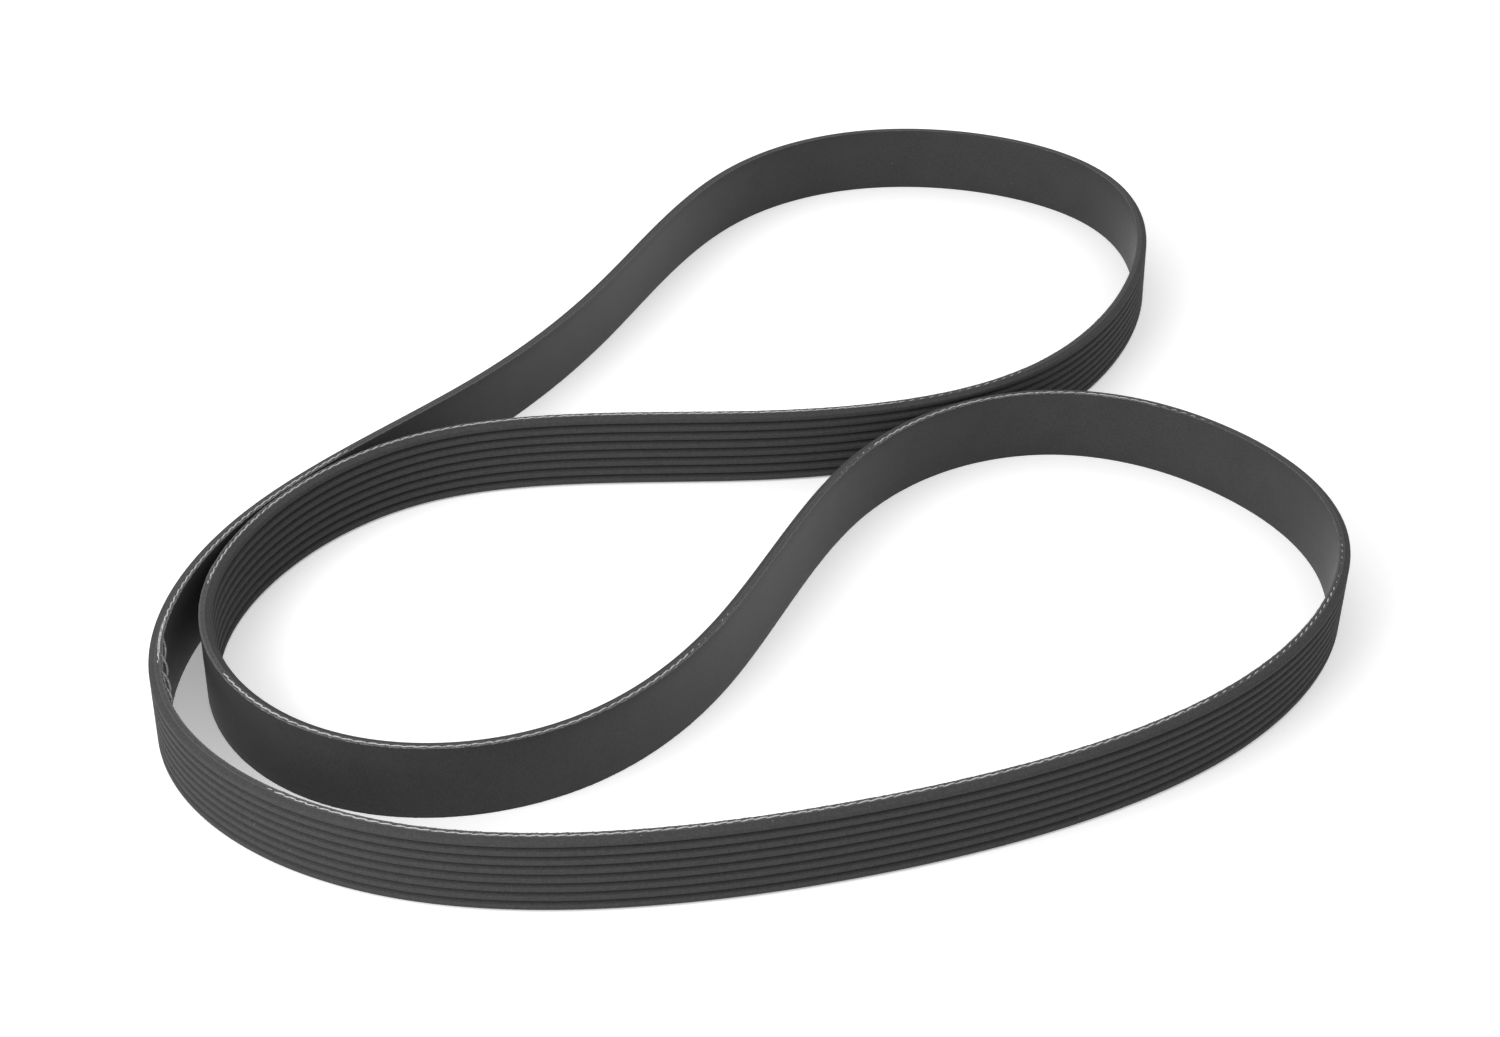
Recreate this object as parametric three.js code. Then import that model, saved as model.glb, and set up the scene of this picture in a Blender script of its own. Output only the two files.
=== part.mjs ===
// Serpentine belt: an endless ribbed rubber belt that stands on its cut edge in a loose,
// folded loop. The ribs face out of the loop and the smooth back faces in.
// Millimetres, +Z up. The origin is on the surface it stands on, in the middle of the loop.
import * as THREE from "three";

// Driving dimensions of the section
const RIB_COUNT = 8;
const RIB_PITCH = 3.56;
const RIB_DEPTH = 2.3;
const GROOVE_ANGLE = 40;
const GROOVE_ROOT = 0.3;
const BAND_THICKNESS = 2.15;

// Driving dimension of the loop: once round, along the smooth back at half height
const BACK_LENGTH = 2335;

// The loop seen from above, at rest: poles of a closed cubic B-spline for the back, each
// [x, y, lean]. The lean is how far the top edge stands out past the bottom one, ribs side positive.
// Only the shape counts here: the drawn loop is stretched to the back length.
const ROUTE = [
  [-221, -207, 0], [-122, -283, 2], [32, -256, -1], [169, -191, 1], [227, -83, 0.5],
  [185, -4, 0.5], [112, 30, -1.5], [29, -20, -0.5], [-11, -162, 1.5], [-74, -230, -2.5],
  [-165, -230, 1], [-223, -136, -1], [-151, -2, -1.5], [2, -11, -3.5], [114, 25, 4],
  [172, 143, -1.5], [162, 244, -1], [63, 283, 1.5], [-26, 236, -1.5], [-68, 104, -2],
  [-118, 11, -3], [-206, -84, 0.5],
];
const RINGS_PER_POLE = 7;
const MEASURING_STEPS_PER_POLE = 64;

const WIDTH = RIB_COUNT * RIB_PITCH;
const THICKNESS = BAND_THICKNESS + RIB_DEPTH;

// Rubber, as the eye sees it
const RUBBER = { color: 0x47474a, roughness: 0.9, metalness: 0 };

// Weights of the four poles around a point of a uniform cubic B-spline, and their slopes.
function weights(s) {
  const r = 1 - s;
  return [r ** 3, 3 * s ** 3 - 6 * s ** 2 + 4, 3 * r ** 3 - 6 * r ** 2 + 4, s ** 3].map((w) => w / 6);
}

function slopes(s) {
  const r = 1 - s;
  return [-(r ** 2), 3 * s ** 2 - 4 * s, 4 * r - 3 * r ** 2, s ** 2].map((w) => w / 2);
}

// One place on the route: u counts poles, and gives [x, y, lean] or its rate of change.
function onRoute(u, basis = weights) {
  const first = Math.floor(u);
  const place = [0, 0, 0];
  basis(u - first).forEach((weight, k) => {
    const pole = ROUTE[(first + k - 1 + ROUTE.length) % ROUTE.length];
    pole.forEach((value, axis) => {
      place[axis] += weight * value;
    });
  });
  return place;
}

// Length of the route as its poles give it, from many short chords.
function drawnLength() {
  const count = ROUTE.length * MEASURING_STEPS_PER_POLE;
  let length = 0;
  let [x, y] = onRoute(0);
  for (let i = 1; i <= count; i++) {
    const [nextX, nextY] = onRoute((i / MEASURING_STEPS_PER_POLE) % ROUTE.length);
    length += Math.hypot(nextX - x, nextY - y);
    [x, y] = [nextX, nextY];
  }
  return length;
}

// Section across the belt as [out, up] points: out runs from the smooth back to the rib crests,
// up runs from one cut edge to the other. The edges are cut through the middle of a groove.
function section() {
  const root = GROOVE_ROOT / 2;
  const flank = RIB_DEPTH * Math.tan(THREE.MathUtils.degToRad(GROOVE_ANGLE / 2));
  const points = [[0, 0], [BAND_THICKNESS, 0]];
  for (let rib = 0; rib < RIB_COUNT; rib++) {
    const low = rib * RIB_PITCH;
    const high = low + RIB_PITCH;
    points.push([BAND_THICKNESS, low + root], [THICKNESS, low + root + flank]);
    points.push([THICKNESS, high - root - flank], [BAND_THICKNESS, high - root]);
  }
  points.push([BAND_THICKNESS, WIDTH], [0, WIDTH]);
  return points;
}

// Sweeps the section once round the route and joins the last ring to the first.
function beltGeometry() {
  const outline = section();
  const stretch = BACK_LENGTH / drawnLength();
  const rings = ROUTE.length * RINGS_PER_POLE;
  const position = [];
  const index = [];
  for (let ring = 0; ring < rings; ring++) {
    const u = ring / RINGS_PER_POLE;
    const [x, y, lean] = onRoute(u).map((value) => value * stretch);
    const [alongX, alongY] = onRoute(u, slopes);
    const outward = new THREE.Vector2(alongY, -alongX).normalize();
    const nextRing = (ring + 1) % rings;
    outline.forEach(([out, up], k) => {
      const shift = out + lean * (up / WIDTH - 0.5);
      position.push(x + outward.x * shift, y + outward.y * shift, up);
      const nextPoint = (k + 1) % outline.length;
      const [a, b] = [ring * outline.length + k, ring * outline.length + nextPoint];
      const [c, d] = [nextRing * outline.length + nextPoint, nextRing * outline.length + k];
      index.push(a, d, c, a, c, b);
    });
  }
  const geometry = new THREE.BufferGeometry();
  geometry.setAttribute("position", new THREE.Float32BufferAttribute(position, 3));
  geometry.setIndex(index);
  geometry.computeVertexNormals();
  geometry.computeBoundingBox();
  return geometry;
}

// The belt, moved so that the middle of its plan is at the origin.
function belt() {
  const geometry = beltGeometry();
  const mesh = new THREE.Mesh(geometry, new THREE.MeshStandardMaterial(RUBBER));
  const middle = geometry.boundingBox.getCenter(new THREE.Vector3());
  mesh.name = "belt";
  mesh.position.set(-middle.x, -middle.y, 0);
  return mesh;
}

const group = new THREE.Group();
group.name = "serpentine_belt";
group.add(belt());

export default group;
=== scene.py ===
# %% [markdown]
# # A ribbed drive belt, resting in a folded loop
#
# This notebook dresses a measured model of a serpentine belt: the endless rubber belt with ribs
# on one side that drives the pumps and the alternator of an engine. It lies as such a belt does
# when it has been taken out of its packing, on its cut edge, in a loose loop that folds back on
# itself. The measured model gives the frame, the size and the place; everything that the eye
# sees is made here.

# %% The measured model
import math

import bmesh
import bpy
import numpy as np
from mathutils import Matrix, Vector


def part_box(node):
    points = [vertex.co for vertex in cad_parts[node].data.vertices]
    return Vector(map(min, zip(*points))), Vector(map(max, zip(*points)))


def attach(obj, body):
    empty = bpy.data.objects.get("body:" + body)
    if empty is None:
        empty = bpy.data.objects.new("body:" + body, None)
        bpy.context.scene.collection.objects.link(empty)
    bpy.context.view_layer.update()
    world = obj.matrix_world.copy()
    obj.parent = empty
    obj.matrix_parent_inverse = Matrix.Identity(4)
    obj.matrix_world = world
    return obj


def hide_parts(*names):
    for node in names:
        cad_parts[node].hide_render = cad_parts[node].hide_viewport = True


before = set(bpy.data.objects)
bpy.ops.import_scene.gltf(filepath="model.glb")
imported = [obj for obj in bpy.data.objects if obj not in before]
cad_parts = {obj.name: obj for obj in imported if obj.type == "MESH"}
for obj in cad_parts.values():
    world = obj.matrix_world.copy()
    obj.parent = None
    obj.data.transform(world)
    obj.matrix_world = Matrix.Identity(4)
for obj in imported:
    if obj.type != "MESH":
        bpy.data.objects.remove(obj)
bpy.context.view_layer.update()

MM = 0.001
BELT_NODE = "belt"
BODY = "root"

# %% [markdown]
# ## The camera
#
# A belt on a table is looked at from standing height, so the camera looks down by about a third
# of a right angle, with a long lens. Its place and its lens came from lining the model's edges
# up with those of the real belt. A camera could be aimed with a Track To constraint, but three
# turns written out are easier to read: roll about its own axis, pitch, and no yaw at all.

# %% The camera
LENS = 64.747
SENSOR_WIDTH = 36.0
CAMERA_PLACE = Vector((-7.46, -891.46, 544.17)) * MM
CAMERA_PITCH = 32.4123
CAMERA_ROLL = 1.0810
NEAREST_SEEN = 0.02
FARTHEST_SEEN = 30


def add_camera():
    data = bpy.data.cameras.new("viewpoint")
    data.lens = LENS
    data.sensor_width = SENSOR_WIDTH
    data.clip_start = NEAREST_SEEN
    data.clip_end = FARTHEST_SEEN
    camera = bpy.data.objects.new("viewpoint", data)
    bpy.context.scene.collection.objects.link(camera)
    pitch = Matrix.Rotation(math.radians(90 - CAMERA_PITCH), 4, "X")
    roll = Matrix.Rotation(math.radians(CAMERA_ROLL), 4, "Z")
    camera.matrix_world = Matrix.Translation(CAMERA_PLACE) @ pitch @ roll
    bpy.context.scene.camera = camera
    return camera


camera = add_camera()
sight = camera.matrix_world.to_3x3() @ Vector((0, 0, -1))
print("camera looks along", [round(v, 3) for v in sight])

# %% [markdown]
# ## Sizes of the section
#
# Belts of this family have one fixed section: ribs 3.56 mm apart, with 40 degree grooves
# between them, on a band that holds the tension cords. Only the number of ribs and the length
# change. The width is read from the measured model, and the pitch follows from the rib count.
#
# The measured model's loop is faceted. A smooth loop just as thick would bulge past its box
# between the facets, so the ribs are drawn a fifth of a millimetre lower here.

# %% Sizes of the section
RIB_COUNT = 8
LOW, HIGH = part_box(BELT_NODE)
WIDTH = HIGH.z - LOW.z
RIB_PITCH = WIDTH / RIB_COUNT
BAND = 2.15 * MM
RIB_TRIM = 0.2 * MM
RIB_DEPTH = 2.3 * MM - RIB_TRIM
GROOVE_ANGLE = 40
GROOVE_ROOT = 0.3 * MM
CREST_ROUND = 0.42 * MM
BACK_ROUND = 0.18 * MM
LEDGE_ROUND = 0.12 * MM
EDGE_RECESS = 0.1 * MM
BACK_LENGTH = 2335 * MM
CREST_OUT = BAND + RIB_DEPTH
print("rib pitch in mm:", round(RIB_PITCH / MM, 3))

# %% [markdown]
# ## The route
#
# Seen from above, the loop is one closed smooth curve. The measured model is swept along a
# closed cubic B-spline, so the same poles are used here, with the lean of the wall at each pole:
# how far the top edge stands out past the bottom one. The poles give the shape, and the drawn
# loop is stretched to the length of the back.
#
# A Curve modifier could bend a straight strip round such a curve, but it can't lean the wall,
# and it leaves a seam where the two ends meet. So every piece is modelled straight, as the belt
# would lie if it were cut and unrolled, with x along it, y outwards from the smooth back and z
# across it. One short function then wraps the finished piece round the route.

# %% The route
ROUTE = np.array([
    [-221, -207, 0], [-122, -283, 2], [32, -256, -1], [169, -191, 1], [227, -83, 0.5],
    [185, -4, 0.5], [112, 30, -1.5], [29, -20, -0.5], [-11, -162, 1.5], [-74, -230, -2.5],
    [-165, -230, 1], [-223, -136, -1], [-151, -2, -1.5], [2, -11, -3.5], [114, 25, 4],
    [172, 143, -1.5], [162, 244, -1], [63, 283, 1.5], [-26, 236, -1.5], [-68, 104, -2],
    [-118, 11, -3], [-206, -84, 0.5],
]) * MM
MIDDLE = np.array([0.2673, -0.1662]) * MM
MEASURING_STEPS = 400


def on_route(u):
    """Places [x, y, lean] and outward directions of the route at u, which counts poles."""
    first = np.floor(u).astype(int)
    s = u - first
    r = 1 - s
    weights = np.array([r**3, 3 * s**3 - 6 * s**2 + 4, 3 * r**3 - 6 * r**2 + 4, s**3]) / 6
    slopes = np.array([-(r**2), 3 * s**2 - 4 * s, 4 * r - 3 * r**2, s**2]) / 2
    poles = np.array([ROUTE[(first + k - 1) % len(ROUTE)] for k in range(4)])
    place = (weights[:, :, None] * poles).sum(0)
    along = (slopes[:, :, None] * poles).sum(0)[:, :2]
    along /= np.linalg.norm(along, axis=1)[:, None]
    return place, np.column_stack([along[:, 1], -along[:, 0]])


poles_passed = np.arange(len(ROUTE) * MEASURING_STEPS + 1) / MEASURING_STEPS
drawn, _ = on_route(poles_passed)
chords = np.linalg.norm(np.diff(drawn[:, :2], axis=0), axis=1)
STRETCH = BACK_LENGTH / chords.sum()
length_passed = np.concatenate([[0], np.cumsum(chords)]) * STRETCH
print("stretch:", round(float(STRETCH), 5))
print("length in mm:", round(float(length_passed[-1] / MM), 2))

# %% [markdown]
# The wrap turns a distance along the belt into a place on the route, and steps outwards from
# there by the point's own y, plus its share of the lean. Its results are written straight into
# the mesh, so the finished object stays at the origin, unturned and unscaled. Where the two
# ends of a straight model meet, their doubled points are merged, which closes the loop.
#
# Before the points move, each face corner keeps where it was on the straight belt, as a UV map:
# u is the distance along, v the distance out plus the height, both in metres. The materials
# read that where a pattern has to follow the belt.

# %% Wrapping a straight piece round the route
def points_of(piece):
    flat = np.empty(len(piece.data.vertices) * 3)
    piece.data.vertices.foreach_get("co", flat)
    return flat.reshape(-1, 3)


def put_points(piece, points):
    piece.data.vertices.foreach_set("co", np.asarray(points, float).ravel())
    piece.data.update()


def keep_straight_places(piece):
    mesh = piece.data
    corners = np.empty(len(mesh.loops), dtype=int)
    mesh.loops.foreach_get("vertex_index", corners)
    points = points_of(piece)
    straight = np.column_stack([points[:, 0], points[:, 1] + points[:, 2]])[corners]
    while mesh.uv_layers:
        mesh.uv_layers.remove(mesh.uv_layers[0])
    mesh.uv_layers.new(name="straight").data.foreach_set("uv", straight.ravel())


def wrap(piece):
    keep_straight_places(piece)
    along, out, up = points_of(piece).T
    place, sideways = on_route(np.interp(along % BACK_LENGTH, length_passed, poles_passed))
    shift = out + place[:, 2] * STRETCH * (up / WIDTH - 0.5)
    plan = place[:, :2] * STRETCH - MIDDLE + sideways * shift[:, None]
    put_points(piece, np.column_stack([plan, up]))
    return piece


# %% [markdown]
# ## Small helpers for modelling by hand
#
# Operators act on whatever is selected, so each step starts from nothing selected, and picks
# faces, edges or points by where they are. These few helpers do the picking. A direction counts
# as along an axis when most of it points that way.

# %% Picking and shaping
CLOSE = 0.01 * MM
MOSTLY = 0.9
COPY_WELD = 0.002 * MM
PICK_MODES = {"faces": "FACE", "edges": "EDGE", "verts": "VERT"}


def leave_edit():
    if bpy.context.object and bpy.context.object.mode == "EDIT":
        bpy.ops.object.mode_set(mode="OBJECT")


def only(piece):
    leave_edit()
    bpy.ops.object.select_all(action="DESELECT")
    piece.select_set(True)
    bpy.context.view_layer.objects.active = piece
    return piece


def begin_primitive(add, name, **settings):
    leave_edit()
    bpy.ops.object.select_all(action="DESELECT")
    add(**settings)
    piece = bpy.context.object
    piece.name = name
    piece.data.name = name
    bpy.ops.object.transform_apply(location=True, rotation=True, scale=True)
    return piece


def pick(piece, kind, test):
    """In edit mode, selects only the faces, edges or verts that pass the test.

    The test is given the middle of each one, and its normal, or an edge's direction.
    """
    bpy.ops.mesh.select_mode(type=PICK_MODES[kind])
    bpy.ops.mesh.select_all(action="DESELECT")
    work = bmesh.from_edit_mesh(piece.data)
    for part in getattr(work, kind):
        points = [part.co] if kind == "verts" else [v.co for v in part.verts]
        middle = sum(points, Vector()) / len(points)
        direction = points[1] - points[0] if kind == "edges" else part.normal
        if test(middle, direction):
            part.select_set(True)
    work.select_flush_mode()
    bmesh.update_edit_mesh(piece.data)


def finish_modifier(piece, kind, **settings):
    """Adds a modifier, sets it and applies it."""
    only(piece)
    modifier = piece.modifiers.new(kind.title(), kind)
    for name, value in settings.items():
        setattr(modifier, name, value)
    bpy.ops.object.modifier_apply(modifier=modifier.name)


def repeat(piece, axis, count, distance):
    """Copies a piece along one axis, and welds each copy to the one before.

    The Array modifier adds its steps one by one and drifts by a hair, so the row is then
    stretched to its exact length.
    """
    column = "xyz".index(axis)
    step = [0.0, 0.0, 0.0]
    step[column] = distance
    finish_modifier(
        piece, "ARRAY", count=count, use_relative_offset=False, use_constant_offset=True,
        constant_offset_displace=step, use_merge_vertices=True, merge_threshold=COPY_WELD,
    )
    points = points_of(piece)
    points[:, column] *= count * distance / points[:, column].max()
    put_points(piece, points)


def near(value, wanted):
    return abs(value - wanted) < CLOSE


# %% [markdown]
# ## Where the cord shows
#
# Twisted polyester cords run round inside the band. They are wound on as one long helix and the
# belts are slit from a wide sleeve afterwards, so the knife follows one cord for a while and then
# passes between two turns of it. Where it follows the cord, the cord lies open along the edge
# as a row of light dashes; elsewhere the edge is plain rubber. The stretches below say where the
# cord is open and how fully: from and to, in millimetres along the belt, and a share.

# %% Where the cord shows
OPEN_STRETCHES = [
    (63, 378, 1.0), (374, 426, 0.6), (421, 466, 0.65), (462, 505, 0.5),
    (580, 613, 0.6), (605, 733, 1.0), (726, 762, 0.5), (847, 886, 0.5),
    (881, 1071, 1.0), (1065, 1086, 0.4), (1109, 1130, 0.5), (1124, 1437, 1.0),
    (1432, 1494, 0.6), (1489, 1556, 0.4), (2169, 2306, 1.0), (2301, 2320, 0.6),
]
OPEN_FADE = 9 * MM
SAMPLES = 2000


def openness(along):
    """How far the cord is laid open at a distance along the belt, from 0 to 1."""
    found = np.zeros_like(along)
    for start, end, level in OPEN_STRETCHES:
        rise = np.clip((along - start * MM) / OPEN_FADE + 0.5, 0, 1)
        fall = np.clip((end * MM - along) / OPEN_FADE + 0.5, 0, 1)
        found = np.maximum(found, level * np.minimum(rise, fall))
    return found


everywhere = np.linspace(0, BACK_LENGTH, SAMPLES)
print("mean openness of the cut edge:", round(float(openness(everywhere).mean()), 2))


# %% [markdown]
# ## The belt
#
# The belt is rubber, moulded as a wide sleeve, ground to ribs and slit. It is one piece, so it
# is modelled as one mesh: a short slice of a single rib, repeated eight times up the belt, given
# its band, and then repeated all the way along it. A curve with a bevel profile would
# be quicker, but a slice modelled by hand gives control over every rounding, and over the strip
# of the cut edge that the cord lies in.
#
# The slice of one rib starts as a plane at the bottom of the grooves. Two cuts leave half a
# groove's root on each side, and the face between them is extruded to the crest and narrowed
# until its sides stand at half the groove angle.

# %% One slice of one rib
SLICES = 760
SLICE = BACK_LENGTH / SLICES
FLANK = RIB_DEPTH * math.tan(math.radians(GROOVE_ANGLE / 2))
CREST_WIDTH = RIB_PITCH - GROOVE_ROOT - 2 * FLANK


def rib_slice():
    rib = begin_primitive(
        bpy.ops.mesh.primitive_plane_add, "ribbed_belt", size=1,
        location=(SLICE / 2, BAND, RIB_PITCH / 2), rotation=(math.radians(-90), 0, 0),
    )
    flat = points_of(rib)
    middle = np.array([SLICE / 2, BAND, RIB_PITCH / 2])
    put_points(rib, middle + (flat - middle) * [SLICE, 1, RIB_PITCH])
    bpy.ops.object.mode_set(mode="EDIT")
    for height in (GROOVE_ROOT / 2, RIB_PITCH - GROOVE_ROOT / 2):
        bpy.ops.mesh.select_all(action="SELECT")
        bpy.ops.mesh.bisect(plane_co=(0, 0, height), plane_no=(0, 0, 1))
    pick(rib, "faces", lambda at, way: near(at.z, RIB_PITCH / 2))
    bpy.ops.mesh.extrude_region_move(TRANSFORM_OT_translate={"value": (0, RIB_DEPTH, 0)})
    bpy.ops.transform.resize(
        value=(1, 1, CREST_WIDTH / (RIB_PITCH - GROOVE_ROOT)),
        center_override=(SLICE / 2, CREST_OUT, RIB_PITCH / 2),
    )
    pick(rib, "faces", lambda at, way: abs(way.x) > MOSTLY)
    bpy.ops.mesh.delete(type="FACE")
    leave_edit()
    return rib


belt = rib_slice()
print("one rib's slice:", len(belt.data.polygons), "faces")
print("flat of the crest in mm:", round(CREST_WIDTH / MM, 2))

# %% [markdown]
# The crest corners are rounded by the grinding stone. They are edges that run along the belt, so
# they are picked by place and bevelled. Then the rib is repeated up the belt, and the open edge
# at each side is pulled back to the smooth face, which gives the two cut edges; bridging them
# closes the back.

# %% Rounding, repeating and closing the section
def runs_along(way):
    return abs(way.x) > MOSTLY * SLICE


def at_rim(at):
    return near(at.z, 0) or near(at.z, WIDTH)


def round_edges(piece, width, segments, test):
    pick(piece, "edges", lambda at, way: runs_along(way) and test(at))
    bpy.ops.mesh.bevel(offset=width, segments=segments, profile=0.5, affect="EDGES")


def full_section(rib):
    only(rib)
    bpy.ops.object.mode_set(mode="EDIT")
    round_edges(rib, CREST_ROUND, segments=3, test=lambda at: near(at.y, CREST_OUT))
    leave_edit()
    repeat(rib, "z", RIB_COUNT, RIB_PITCH)
    bpy.ops.object.mode_set(mode="EDIT")
    pick(rib, "edges", lambda at, way: runs_along(way) and at_rim(at))
    bpy.ops.mesh.extrude_edges_move(TRANSFORM_OT_translate={"value": (0, -BAND, 0)})
    pick(rib, "edges", lambda at, way: runs_along(way) and at_rim(at) and near(at.y, 0))
    bpy.ops.mesh.bridge_edge_loops()
    leave_edit()
    return rib


belt = full_section(belt)
print("one slice of the belt:", len(belt.data.polygons), "faces")

# %% [markdown]
# A cut edge isn't a sharp, flat plane. The knife leaves it a little below full width, the corner
# to the back is rounded, and the cord lies in a shallow trough of its own. Cuts along the edge
# face make the lines that these need, and the lines are moved in code, because how deep the
# trough is changes along the belt. The back gets a few lines too, so that its long faces
# don't become needles.

# %% The cut edges of the slice
CORD_OUT = 1.15 * MM
TROUGH_HALF = 0.62 * MM
TROUGH_LINES = (-1, -0.5, 0, 0.5, 1)
BACK_LINES = 6


def cut_edge_lines(belt):
    only(belt)
    bpy.ops.object.mode_set(mode="EDIT")
    for share in TROUGH_LINES:
        pick(belt, "faces", lambda at, way: abs(way.z) > MOSTLY)
        bpy.ops.mesh.bisect(plane_co=(0, CORD_OUT + share * TROUGH_HALF, 0), plane_no=(0, 1, 0))
    for line in range(1, BACK_LINES):
        pick(belt, "faces", lambda at, way: abs(way.y) > MOSTLY and near(at.y, 0))
        bpy.ops.mesh.bisect(plane_co=(0, 0, WIDTH * line / BACK_LINES), plane_no=(0, 0, 1))
    round_edges(belt, BACK_ROUND, segments=3, test=lambda at: near(at.y, 0) and at_rim(at))
    round_edges(belt, LEDGE_ROUND, segments=2, test=lambda at: near(at.y, BAND) and at_rim(at))
    leave_edit()


cut_edge_lines(belt)
print("with the lines of its edges:", len(belt.data.polygons), "faces")

# %% [markdown]
# The slice is now repeated along the whole belt. Then the knife's work is put in: the upper cut
# edge moves down by the recess, and the lines of the troughs sink where the cord is open. The
# lower edge keeps the full width, because the belt stands on it. Faces are given one of three
# finishes by where they lie: back, cut edge, or ribs.

# %% The whole straight belt, and its wrap
TROUGH_DEPTH = 0.2 * MM
TROUGH_SHAPE = {0.0: 1.0, 0.5: 0.72, 1.0: 0.0}
FINISHES = ["rubber_back", "rubber_cut_edge", "rubber_ribs"]
LOOP_WELD = 0.004 * MM
SMOOTH_BELOW = 50


def cut_the_edges(belt):
    points = points_of(belt)
    along, out, up = points.T
    upper = up > WIDTH / 2
    from_rim = np.where(upper, WIDTH - up, up)
    at_edge = (from_rim < 2 * EDGE_RECESS) & (out < BAND + CLOSE)
    recess = np.where(upper, EDGE_RECESS, 0)
    share = np.clip(np.abs(out - CORD_OUT) / TROUGH_HALF, 0, 1)
    trough = np.interp(share, list(TROUGH_SHAPE), list(TROUGH_SHAPE.values()))
    trough *= TROUGH_DEPTH * openness(along) * (from_rim < CLOSE)
    sunk = np.where(at_edge, recess + trough, 0)
    points[:, 2] += np.where(upper, -sunk, sunk)
    put_points(belt, points)


def give_finishes(belt):
    for name in FINISHES:
        belt.data.materials.append(bpy.data.materials.new(name))
    middles = np.empty(len(belt.data.polygons) * 3)
    belt.data.polygons.foreach_get("center", middles)
    _, out, up = middles.reshape(-1, 3).T
    rim = np.minimum(up, WIDTH - up) < GROOVE_ROOT / 2 + EDGE_RECESS
    finish = np.where(out < 0.1 * BACK_ROUND, 0, np.where(rim & (out < BAND), 1, 2))
    belt.data.polygons.foreach_set("material_index", finish.astype(np.int32))


def close_loop(piece):
    only(piece)
    bpy.ops.object.mode_set(mode="EDIT")
    bpy.ops.mesh.select_all(action="SELECT")
    bpy.ops.mesh.remove_doubles(threshold=LOOP_WELD)
    bpy.ops.mesh.normals_make_consistent(inside=False)
    leave_edit()


repeat(belt, "x", SLICES, SLICE)
cut_the_edges(belt)
give_finishes(belt)
wrap(belt)
close_loop(belt)
only(belt)
bpy.ops.object.shade_smooth_by_angle(angle=math.radians(SMOOTH_BELOW))
print("belt:", len(belt.data.vertices), "points,", 2 * len(belt.data.polygons), "triangles")

# %% [markdown]
# ## The tension cord
#
# The cord is polyester yarn, two strands twisted together. Seen from the side each strand comes
# up, crosses over and dives under the other, and that is what makes the row of slanted dashes
# along the cut edge. One full turn is modelled: two thin tubes side by side, twisted once round
# their common axis by the Simple Deform modifier. The turn is then repeated round the belt.
# A helix could be computed point by point, but the twist is how the yarn itself is made.
#
# The cord runs all the way round. Where the knife passed beside it, it lies too deep to show;
# where it stood proud, the knife has shaved it level with the edge.

# %% One turn of the cord
CORD_TURNS = 287
TURN = BACK_LENGTH / CORD_TURNS
STRAND_RADIUS = 0.28 * MM
STRAND_OFFSET = 0.25 * MM
STRAND_SIDES = 6
RINGS_PER_TURN = 12
CORD_DEEP = 0.8 * MM
CORD_OPEN = 0.36 * MM
CORD_WANDER = 0.09 * MM
CORD_ROLL = 0.025 * MM
WANDER_WAVES = ((7, 1.0), (16, 0.6), (41, 0.5))
ROLL_WAVES = ((83, 0.8), (131, 0.7), (197, 0.5))
SHAVED = 0.03 * MM


def cord_turn(name):
    strands = []
    for side in (-1, 1):
        strand = begin_primitive(
            bpy.ops.mesh.primitive_cylinder_add, name, vertices=STRAND_SIDES, radius=STRAND_RADIUS,
            depth=TURN, end_fill_type="NOTHING", rotation=(0, math.radians(90), 0),
            location=(TURN / 2, side * STRAND_OFFSET, 0),
        )
        bpy.ops.object.mode_set(mode="EDIT")
        pick(strand, "edges", lambda at, way: abs(way.x) > MOSTLY * TURN)
        bpy.ops.mesh.subdivide(number_cuts=RINGS_PER_TURN - 1)
        leave_edit()
        strands.append(strand)
    only(strands[0])
    strands[1].select_set(True)
    bpy.ops.object.join()
    cord = strands[0]
    finish_modifier(
        cord, "SIMPLE_DEFORM", deform_method="TWIST", deform_axis="X", angle=2 * math.pi,
    )
    return cord


# %% The cord, all the way round
def wander(along, waves):
    """A drift of [waves a round, size] that comes back to where it began after once round."""
    turn = 2 * np.pi * along / BACK_LENGTH
    return sum(size * np.sin(count * turn + 1.7 * count) for count, size in waves)


def lay_cord(name, upper):
    cord = cord_turn(name)
    repeat(cord, "x", CORD_TURNS, TURN)
    points = points_of(cord)
    depth = np.interp(openness(points[:, 0]), [0, 1], [CORD_DEEP, CORD_OPEN]) + EDGE_RECESS * upper
    depth += CORD_ROLL * wander(points[:, 0], ROLL_WAVES)
    points[:, 1] += CORD_OUT + CORD_WANDER * wander(points[:, 0], WANDER_WAVES)
    points[:, 2] = WIDTH - depth + points[:, 2] if upper else depth - points[:, 2]
    points[:, 2] = np.clip(points[:, 2], SHAVED, WIDTH - SHAVED)
    put_points(cord, points)
    wrap(cord)
    close_loop(cord)
    only(cord)
    bpy.ops.object.shade_smooth()
    return cord


cords = [lay_cord("tension_cord_upper", True), lay_cord("tension_cord_lower", False)]
for cord in cords:
    heights = points_of(cord)[:, 2] / MM
    print(cord.name, 2 * len(cord.data.polygons), "triangles")
    print("  from", heights.min().round(3), "to", heights.max().round(3), "mm up")

# %% [markdown]
# ## The lip on the back corner
#
# When the knife leaves the backing it drags a thin burr out of the corner, in small lumps a
# millimetre or two apart. It catches the light as a fine beaded line. One lump is a short tube
# that is thicker in the middle; the row of them is made with the same repeat, and then each lump
# gets its own size. The lower burr is pressed small by the belt's own weight. A bump in the
# material would vanish in the outline, so it is a mesh.

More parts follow.
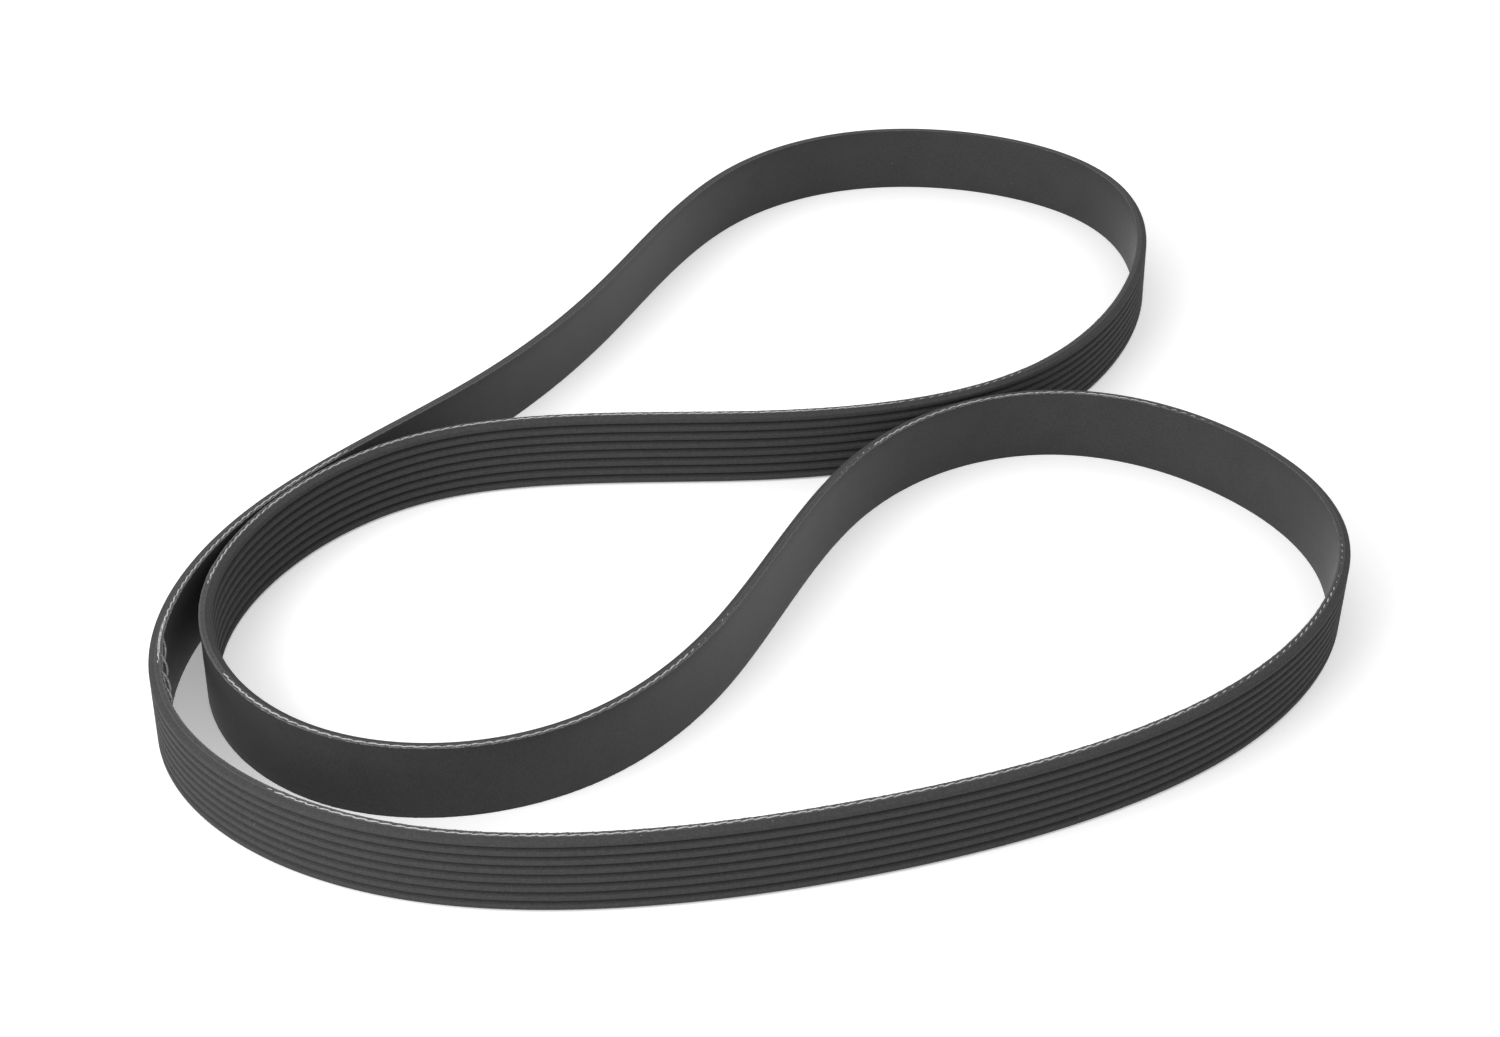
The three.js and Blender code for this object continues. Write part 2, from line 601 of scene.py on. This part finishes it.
# %% One lump of the lip
LIP_LUMPS = 1520
LUMP = BACK_LENGTH / LIP_LUMPS
LIP_RADIUS = 0.16 * MM
LIP_OUT = 0.06 * MM
LIP_DOWN = 0.12 * MM
LIP_NECK = 0.55
LIP_SIZES = (0.55, 1.35)
LIP_SCATTER = 0.035 * MM
LIP_PLAIN = 0.35
LIP_BELOW = 0.4
SEED = 11


def lip_lump(name):
    lump = begin_primitive(
        bpy.ops.mesh.primitive_cylinder_add, name, vertices=5, radius=LIP_RADIUS, depth=LUMP,
        end_fill_type="NOTHING", rotation=(0, math.radians(90), 0), location=(LUMP / 2, 0, 0),
    )
    bpy.ops.object.mode_set(mode="EDIT")
    pick(lump, "edges", lambda at, way: abs(way.x) > MOSTLY * LUMP)
    bpy.ops.mesh.subdivide(number_cuts=1)
    pick(lump, "verts", lambda at, way: near(at.x, 0) or near(at.x, LUMP))
    bpy.ops.transform.resize(value=(1, LIP_NECK, LIP_NECK), center_override=(LUMP / 2, 0, 0))
    leave_edit()
    return lump


# %% The lip, all the way round
def lay_lip(name, upper, seed, growth):
    lip = lip_lump(name)
    repeat(lip, "x", LIP_LUMPS, LUMP)
    points = points_of(lip)
    random = np.random.default_rng(seed)
    place = points[:, 0] / LUMP
    lump = np.round(place - 0.25).astype(int) % LIP_LUMPS
    size = growth * random.uniform(*LIP_SIZES, LIP_LUMPS)[lump]
    size *= LIP_PLAIN + (1 - LIP_PLAIN) * openness(points[:, 0])
    out = LIP_OUT + random.normal(0, LIP_SCATTER, LIP_LUMPS)[lump] + points[:, 1] * size
    down = EDGE_RECESS * upper + LIP_DOWN - points[:, 2] * size
    down = np.maximum(down, SHAVED)
    put_points(lip, np.column_stack([points[:, 0], out, WIDTH - down if upper else down]))
    wrap(lip)
    close_loop(lip)
    only(lip)
    bpy.ops.object.shade_smooth()
    return lip


lips = [
    lay_lip("corner_lip_upper", True, SEED, 1.0),
    lay_lip("corner_lip_lower", False, SEED + 1, LIP_BELOW),
]
print("each lip:", 2 * len(lips[0].data.polygons), "triangles")

# %% [markdown]
# ## Fuzz along the cut
#
# The rubber is filled with short chopped fibres that lie across the belt, and the knife pulls
# some of them out. They stand from the cut edge as hair up to half a millimetre long, most of it
# where the cord is open. One hair is a thin cone of three sides. It is copied as a mesh, each
# copy turned and bent its own way, which is lighter than a particle system and stays in the
# export.

# %% One hair
HAIRS = 1500
HAIR_LENGTH = 0.42 * MM
HAIR_RADIUS = 0.04 * MM
HAIR_TIP = 0.4
HAIR_GROWTH = (0.35, 1.25)
HAIR_SPIN = 0.8
HAIR_TILT = (1.35, 1.95)
HAIR_BEND = 0.35
HAIR_ROOT = 0.02 * MM
HAIR_BANDS = ((0, 0.35), (0.4, 0.9))
PLAIN_EDGE_SHARE = 0.2


def one_hair():
    hair = begin_primitive(
        bpy.ops.mesh.primitive_cone_add, "one_hair", vertices=3, radius1=HAIR_RADIUS,
        radius2=HAIR_TIP * HAIR_RADIUS, depth=HAIR_LENGTH, location=(0, 0, HAIR_LENGTH / 2),
    )
    bpy.ops.object.mode_set(mode="EDIT")
    pick(hair, "edges", lambda at, way: abs(way.z) > MOSTLY * HAIR_LENGTH)
    bpy.ops.mesh.subdivide(number_cuts=2)
    leave_edit()
    return hair


# %% Hair along the whole edge
def shaped_hair(model, along, random):
    """The points of one hair, grown, bent and turned its own way, at its place on the edge."""
    growth = random.uniform(*HAIR_GROWTH)
    spin = Matrix.Rotation(random.normal(0, HAIR_SPIN), 3, "Z")
    tilt = Matrix.Rotation(random.uniform(*HAIR_TILT), 3, "X")
    bend = random.normal(0, HAIR_BEND) / HAIR_LENGTH
    points = model.copy()
    points[:, 0] += bend * points[:, 2] ** 2
    points[:, 2] *= growth
    out = random.choice([random.uniform(*band) for band in HAIR_BANDS]) * MM
    root = [along, out, WIDTH - EDGE_RECESS - HAIR_ROOT]
    return points @ np.array(spin @ tilt).T + root


def many_hairs(name, seed):
    hair = one_hair()
    model = points_of(hair)
    faces = [tuple(face.vertices) for face in hair.data.polygons]
    random = np.random.default_rng(seed)
    tried = random.uniform(0, BACK_LENGTH, 4 * HAIRS)
    chance = PLAIN_EDGE_SHARE + (1 - PLAIN_EDGE_SHARE) * openness(tried)
    roots = tried[random.uniform(0, 1, len(tried)) < chance][:HAIRS]
    points = np.concatenate([shaped_hair(model, along, random) for along in roots])
    points[:, 2] = np.minimum(points[:, 2], WIDTH - HAIR_ROOT)
    mesh = bpy.data.meshes.new(name)
    starts = range(0, len(points), len(model))
    mesh.from_pydata(points, [], [[v + start for v in face] for start in starts for face in faces])
    fuzz = bpy.data.objects.new(name, mesh)
    bpy.context.scene.collection.objects.link(fuzz)
    bpy.data.objects.remove(hair)
    return wrap(fuzz)


fuzz = many_hairs("edge_fuzz", SEED + 2)
print("hairs:", HAIRS, "with", len(fuzz.data.polygons), "faces")

# %% [markdown]
# ## Torn shreds at the fold
#
# At one fold the cord has broken out of the edge. Its pale strands run out to the corner, and
# behind them the backing hangs down over the smooth back in torn shreds, one behind the other.
# Each is a thin tube that leaves the edge, bows away from the wall and comes back to it. A curve
# object with a round bevel is the natural way to draw a single thread by a few chosen points;
# it becomes a mesh before it is wrapped round the belt. A point is given in millimetres: along
# the belt, out from the back, and up from the cut edge.

# %% Torn shreds at the fold
SHREDS = [
    [(2301.5, 0.4, -0.4), (2305.5, -0.7, -0.45), (2309, -1.4, -0.5), (2313, -1.5, -0.65),
     (2316, -0.9, -0.8), (2318, 0.3, -0.9)],
    [(2311, 0.4, -0.4), (2315, -1.1, -0.45), (2318.5, -1.9, -0.6), (2322.5, -2, -0.75),
     (2325.5, -1.3, -0.9), (2327.5, 0.3, -1)],
    [(2320.5, 0.4, -0.4), (2324.5, -1.2, -0.45), (2328.5, -1.8, -0.6), (2332, -1.7, -0.75),
     (2335, -1.1, -0.9), (2337, 0.3, -1)],
    [(2329.5, 0.4, -0.4), (2332, -0.8, -0.45), (2336, -1.2, -0.6), (2339, -0.8, -0.75),
     (2340.5, 0.3, -0.8)],
    [(2302.5, 0.5, -0.4), (2307, -0.25, -0.45), (2314, -0.45, -0.6), (2320.5, -0.3, -0.7),
     (2324.5, 0.3, -0.75)],
    [(2317, 0.5, -0.4), (2321.5, -0.3, -0.45), (2327.5, -0.45, -0.6), (2333, -0.3, -0.7),
     (2337, 0.3, -0.75)],
]
LOOSE_STRANDS = [
    [(2289, 1.3, -0.35), (2295.5, 1.5, -0.14), (2303.5, 1.4, -0.13), (2310, 1.1, -0.13),
     (2316, 0.65, -0.15), (2320.5, 0.3, -0.4)],
    [(2292, 0.9, -0.35), (2298.5, 1, -0.14), (2306.5, 0.85, -0.13), (2312, 0.55, -0.15),
     (2317, 0.3, -0.4)],
]
SHRED_RADIUS = 0.34 * MM
STRAND_END_RADIUS = 0.2 * MM


def thread(name, points, radius):
    line = bpy.data.curves.new(name, "CURVE")
    line.dimensions = "3D"
    line.bevel_depth = radius
    line.bevel_resolution = 1
    line.resolution_u = 8
    line.use_fill_caps = True
    spline = line.splines.new("NURBS")
    spline.points.add(len(points) - 1)
    for point, (along, out, up) in zip(spline.points, points):
        point.co = (along * MM, out * MM, WIDTH - EDGE_RECESS + up * MM, 1)
    spline.order_u = 4
    spline.use_endpoint_u = True
    bpy.context.scene.collection.objects.link(bpy.data.objects.new(name, line))
    only(bpy.data.objects[name])
    bpy.ops.object.convert(target="MESH")
    return bpy.context.object


def threads(name, lines, radius):
    """Several threads, joined into one piece and wrapped round the belt."""
    made = [thread(f"{name}_{number}", points, radius) for number, points in enumerate(lines)]
    only(made[0])
    for other in made[1:]:
        other.select_set(True)
    bpy.ops.object.join()
    made[0].name = name
    wrap(made[0])
    only(made[0])
    bpy.ops.object.shade_smooth()
    return made[0]


shreds = threads("torn_shreds", SHREDS, SHRED_RADIUS)
strand_ends = threads("loose_strands", LOOSE_STRANDS, STRAND_END_RADIUS)
for piece in (shreds, strand_ends):
    print(piece.name, len(piece.data.polygons), "faces")

# %% [markdown]
# ## Writing materials as sums
#
# A finish is worked out in nodes, and a chain of Math nodes is hard to read. One small class
# wraps a socket, so that sums and products of sockets can be written as Python writes them,
# and each operator adds its own Math node. Everything else goes through one method that takes
# the node's type, its settings and its inputs.

# %% Writing materials as sums
class Level:
    """What comes out of a node. Where it is a number, the usual operators work on it."""

    def __init__(self, finish, socket):
        self.finish = finish
        self.socket = socket

    def do(self, operation, *others):
        values = dict(enumerate((self, *others)))
        return self.finish.node("ShaderNodeMath", {"operation": operation}, values)

    def __add__(self, other):
        return self.do("ADD", other)

    def __mul__(self, other):
        return self.do("MULTIPLY", other)

    def __sub__(self, other):
        return self.do("SUBTRACT", other)

    def __rsub__(self, other):
        return self.finish.node("ShaderNodeMath", {"operation": "SUBTRACT"}, {0: other, 1: self})

    def __lt__(self, other):
        return self.do("LESS_THAN", other)

    def __gt__(self, other):
        return self.do("GREATER_THAN", other)

    __radd__ = __add__
    __rmul__ = __mul__

    def most(self, other):
        return self.do("MAXIMUM", other)

    def within(self, low, high):
        """0 below low, 1 above high and a soft rise between."""
        settings = {"interpolation_type": "SMOOTHSTEP"}
        return self.finish.node("ShaderNodeMapRange", settings, {0: self, 1: low, 2: high})


class Nodes:
    """A node tree while it is being put together."""

    def __init__(self, tree):
        self.tree = tree

    def feed(self, socket, value):
        if isinstance(value, Level):
            self.tree.links.new(value.socket, socket)
        else:
            socket.default_value = value

    def node(self, kind, settings=(), inputs=(), out=0):
        made = self.tree.nodes.new(kind)
        for name, value in dict(settings).items():
            setattr(made, name, value)
        for name, value in dict(inputs).items():
            self.feed(made.inputs[name], value)
        return Level(self, made.outputs[out])


class Finish(Nodes):
    """The nodes of a material that has one Principled shader."""

    def __init__(self, name, **constants):
        self.material = bpy.data.materials.get(name) or bpy.data.materials.new(name)
        self.material.use_nodes = True
        super().__init__(self.material.node_tree)
        self.shader = self.tree.nodes["Principled BSDF"]
        self.set(**constants)

    def set(self, **sockets):
        for name, value in sockets.items():
            self.feed(self.shader.inputs[name.replace("_", " ")], value)

    def place(self):
        return self.node("ShaderNodeTexCoord", out="Object")

    def noise(self, where, size, detail=2.0, roughness=0.5):
        inputs = {"Vector": where, "Scale": 1 / size, "Detail": detail, "Roughness": roughness}
        return self.node("ShaderNodeTexNoise", {}, inputs)

    def mix(self, low, high, share):
        return self.node("ShaderNodeMix", {"data_type": "RGBA"}, {0: share, 6: low, 7: high}, out=2)

    def bump(self, height, depth, strength):
        inputs = {"Height": height, "Distance": depth, "Strength": strength}
        self.set(Normal=self.node("ShaderNodeBump", {}, inputs))


def grey(level, blue=0.0):
    """A colour from a screen level of 0 to 255, as the light that it stands for."""
    screen = level / 255
    linear = ((screen + 0.055) / 1.055) ** 2.4 if screen > 0.04045 else screen / 12.92
    return (linear, linear, linear * (1 + blue), 1.0)


def tell(material):
    print(material.name, "has", len(material.node_tree.nodes), "nodes")
    return material


print("screen level 70 is", round(grey(70)[0], 4), "of white")

# %% [markdown]
# ## The smooth back
#
# The back is plain rubber that has been ground flat: dark, dull, with a fine even speckle and
# now and then a grain of pale dust. The speckle is three-dimensional noise read from where a
# point is on the object, so it has no seam. The dust is a Voronoi pattern of which only the
# middles of a few cells are kept.

# %% The smooth back
DUST_SPACING = 5.5 * MM
DUST_SIZE = 0.14 * MM


def dust(finish, where, kept):
    """1 on a few small grains and 0 elsewhere. Kept is the share of the cells that have one."""
    cells = {"Vector": where, "Scale": 1 / DUST_SPACING}
    distance = finish.node("ShaderNodeTexVoronoi", {}, cells, out="Distance")
    colour = finish.node("ShaderNodeTexVoronoi", {}, cells, out="Color")
    chance = finish.node("ShaderNodeSeparateColor", {}, {0: colour}, out=0)
    return (distance < DUST_SIZE / DUST_SPACING) * (chance < kept)


def finish_back():
    back = Finish("rubber_back", Roughness=0.48, Specular_IOR_Level=0.19)
    where = back.place()
    grain = back.noise(where, size=0.55 * MM, detail=3, roughness=0.7)
    clouds = back.noise(where, size=14 * MM, detail=2)
    shade = grain.within(0.3, 0.75) * 0.75 + clouds * 0.5 - 0.12
    rubber = back.mix(grey(47), grey(64, 0.02), shade)
    back.set(Base_Color=back.mix(rubber, grey(150), dust(back, where, kept=0.3)))
    back.bump(grain, depth=0.05 * MM, strength=0.5)
    return back.material


tell(finish_back())

# %% [markdown]
# ## The ribs
#
# The ribs are ground from rubber filled with short fibre, which leaves them duller than the
# back and with a coarser grain. Two sizes of noise give the grain. The grooves need no paint of
# their own, because they darken by their own shadow.

# %% The ribs
def finish_ribs():
    ribs = Finish("rubber_ribs", Roughness=0.8, Specular_IOR_Level=0.2)
    where = ribs.place()
    grain = ribs.noise(where, size=0.6 * MM, detail=3, roughness=0.75)
    tufts = ribs.noise(where, size=1.6 * MM, detail=2)
    shade = grain.within(0.3, 0.75) * 0.7 + tufts * 0.5 - 0.1
    rubber = ribs.mix(grey(50), grey(71, 0.01), shade)
    ribs.set(Base_Color=ribs.mix(rubber, grey(150), dust(ribs, where, kept=0.22)))
    ribs.bump(grain, depth=0.12 * MM, strength=0.8)
    return ribs.material


tell(finish_ribs())

# %% [markdown]
# ## The cut edge
#
# The knife opens the rubber, so the edge is lighter and coarser than any moulded face. Across
# it there are bands: the backing next to the corner, with pale fibre ends standing side by side
# and dark pits between them; the trough of the cord, dark with torn rubber; and the plain
# section of the band beyond it. The bands follow the belt, so they read the straight UV map.

# %% The cut edge
FIBRE_GRAIN = 0.5 * MM
FIBRE_LENGTH = 2.5 * MM


def finish_cut_edge():
    edge = Finish("rubber_cut_edge", Roughness=0.85, Specular_IOR_Level=0.25)
    where = edge.place()
    straight = edge.node("ShaderNodeUVMap", {"uv_map": "straight"})
    along = edge.node("ShaderNodeSeparateXYZ", {}, {0: straight}, out="X")
    across = edge.node("ShaderNodeSeparateXYZ", {}, {0: straight}, out="Y")
    upper = across > WIDTH / 2
    out = across - upper * (WIDTH - EDGE_RECESS)
    grain = edge.noise(where, size=0.5 * MM, detail=3, roughness=0.75)
    blotches = edge.noise(where, size=2.2 * MM, detail=2)
    plain = edge.mix(grey(62), grey(86), grain.within(0.3, 0.75) * 0.7 + blotches * 0.4 - 0.05)
    by_grain = {0: along * (1 / FIBRE_GRAIN), 1: out * (1 / FIBRE_LENGTH)}
    stretched = edge.node("ShaderNodeCombineXYZ", {}, by_grain)
    fibres = edge.noise(stretched, size=1.0, detail=2, roughness=0.6)
    backing = edge.mix(grey(68), grey(98), fibres.within(0.3, 0.75))
    in_backing = 1 - out.within(CORD_OUT - 1.1 * TROUGH_HALF, CORD_OUT - 0.6 * TROUGH_HALF)
    colour = edge.mix(plain, backing, in_backing)
    from_cord = (out - CORD_OUT).do("ABSOLUTE")
    in_trough = 1 - from_cord.within(0.7 * TROUGH_HALF, TROUGH_HALF)
    torn = edge.mix(grey(54), grey(86), grain.within(0.35, 0.75))
    colour = edge.mix(colour, torn, in_trough * 0.8)
    edge.set(Base_Color=edge.mix(colour, grey(165), dust(edge, where, kept=0.3)))
    edge.bump(grain + fibres * in_backing * 0.25, depth=0.08 * MM, strength=0.6)
    return edge.material


tell(finish_cut_edge())

# %% [markdown]
# ## Cord, lip, hair and shreds
#
# The cord is pale polyester with rubber smeared into it. Very fine noise stands for its
# filaments, and coarser noise, kept dark and sparse, for the smears.
#
# The lip is the same rubber as the edge, torn and so a shade lighter, the shreds are backing
# with fibre in it, and the hairs are fibre with some rubber dust on them.

# %% Cord, lip, hair and shreds
def finish_cord():
    cord = Finish("polyester_cord", Roughness=0.6, Specular_IOR_Level=0.4)
    where = cord.place()
    smears = cord.noise(where, size=1.1 * MM, detail=4, roughness=0.75)
    filaments = cord.noise(where, size=0.18 * MM, detail=2)
    polyester = cord.mix(grey(140), grey(215), filaments)
    cord.set(Base_Color=cord.mix(polyester, grey(88), smears.within(0.5, 0.68)))
    cord.bump(filaments, depth=0.04 * MM, strength=0.6)
    return cord.material


def finish_torn(name, dark, light, size):
    torn = Finish(name, Roughness=0.8, Specular_IOR_Level=0.25)
    where = torn.place()
    lumps = torn.noise(where, size=size, detail=3, roughness=0.7)
    torn.set(Base_Color=torn.mix(grey(dark), grey(light), lumps.within(0.35, 0.7)))
    torn.bump(lumps, depth=0.05 * MM, strength=0.5)
    return torn.material


cord_finish = tell(finish_cord())
lip_finish = tell(finish_torn("torn_rubber", dark=68, light=135, size=1.8 * MM))
hair_finish = tell(finish_torn("fibre_ends", dark=80, light=150, size=3 * MM))
shred_finish = tell(finish_torn("torn_backing", dark=84, light=135, size=0.9 * MM))
for pieces, material in (
    ([*cords, strand_ends], cord_finish),
    (lips, lip_finish),
    ([fuzz], hair_finish),
    ([shreds], shred_finish),
):
    for piece in pieces:
        piece.data.materials.clear()
        piece.data.materials.append(material)
print("materials:", sorted(m.name for m in bpy.data.materials if m.users))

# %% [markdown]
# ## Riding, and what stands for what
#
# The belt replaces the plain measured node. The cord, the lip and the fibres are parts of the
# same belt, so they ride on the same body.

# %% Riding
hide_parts(BELT_NODE)
for piece in [belt, *cords, strand_ends, *lips, fuzz, shreds]:
    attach(piece, BODY)
    print(piece.name, "rides on", BODY)

# %% [markdown]
# ## The floor
#
# The floor is a white table that goes on past the edge of the view. For the eye and for mirror
# rays it glows a little, so that it is white where no shadow falls; what it throws back on to
# the belt is the light of an ordinary pale surface. Shadows stay, because the diffuse part still
# darkens beside the belt.

# %% The floor
FLOOR_HALF = 6.0
FLOOR_DROP = 0.02 * MM
FLOOR_GLOW = 0.265
WHITE = (1.0, 1.0, 1.0, 1.0)
PALE = (0.8, 0.8, 0.8, 1.0)


def white_for_the_eye(nodes, plain, white):
    """Shows the white shader to camera, mirror and glass rays, and the plain one to all others."""
    camera_ray, glossy_ray, glass_ray = [
        nodes.node("ShaderNodeLightPath", out=f"Is {kind} Ray")
        for kind in ("Camera", "Glossy", "Transmission")
    ]
    seen = camera_ray.most(glossy_ray).most(glass_ray)
    return nodes.node("ShaderNodeMixShader", {}, {0: seen, 1: plain, 2: white})


def lay_floor():
    floor = begin_primitive(
        bpy.ops.mesh.primitive_plane_add, "table_top", size=2 * FLOOR_HALF,
        location=(0, 0, -FLOOR_DROP),
    )
    material = bpy.data.materials.new("white_table")
    material.use_nodes = True
    nodes = Nodes(material.node_tree)
    nodes.tree.nodes.remove(nodes.tree.nodes["Principled BSDF"])
    plain = nodes.node("ShaderNodeBsdfDiffuse", {}, {"Color": PALE})
    shaded = nodes.node("ShaderNodeBsdfDiffuse", {}, {"Color": WHITE})
    glow = nodes.node("ShaderNodeEmission", {}, {"Strength": FLOOR_GLOW})
    white = nodes.node("ShaderNodeAddShader", {}, {0: shaded, 1: glow})
    surface = white_for_the_eye(nodes, plain, white)
    nodes.feed(nodes.tree.nodes["Material Output"].inputs["Surface"], surface)
    floor.data.materials.append(material)
    return floor


floor = lay_floor()
print("floor:", floor.name)

# %% [markdown]
# ## Light
#
# The light is a studio's: an even white room, and one large soft lamp in front of the belt, to
# its left and above it. The lamp makes the walls that face it a shade brighter than the others,
# and lets the soft shadows fall to the right and to the back.

# %% Light
ROOM_LIGHT = 0.83
LAMP_PLACE = Vector((-0.75, -0.75, 0.55))
LAMP_AIM = Vector((0, 0, 0))
LAMP_SIZE = 0.8
LAMP_POWER = 9.0


def light_the_room():
    world = bpy.data.worlds.new("studio")
    bpy.context.scene.world = world
    world.use_nodes = True
    nodes = Nodes(world.node_tree)
    nodes.tree.nodes.remove(nodes.tree.nodes["Background"])
    room = nodes.node("ShaderNodeBackground", {}, {"Color": WHITE, "Strength": ROOM_LIGHT})
    backdrop = nodes.node("ShaderNodeBackground", {}, {"Color": WHITE, "Strength": 1.0})
    surface = white_for_the_eye(nodes, room, backdrop)
    nodes.feed(nodes.tree.nodes["World Output"].inputs["Surface"], surface)


def hang_lamp():
    aim = (LAMP_AIM - LAMP_PLACE).to_track_quat("-Z", "Y").to_euler()
    bpy.ops.object.light_add(type="AREA", location=LAMP_PLACE, rotation=aim)
    lamp = bpy.context.object
    lamp.name = "soft_lamp"
    lamp.data.shape = "SQUARE"
    lamp.data.size = LAMP_SIZE
    lamp.data.energy = LAMP_POWER
    return lamp


light_the_room()
lamp = hang_lamp()
print("room:", ROOM_LIGHT, "of white;", lamp.name, LAMP_POWER, "W")

# %% [markdown]
# ## Last lines
#
# The view transform is Standard, so that a colour is shown as it was written.

# %% Last lines
bpy.context.scene.view_settings.view_transform = "Standard"
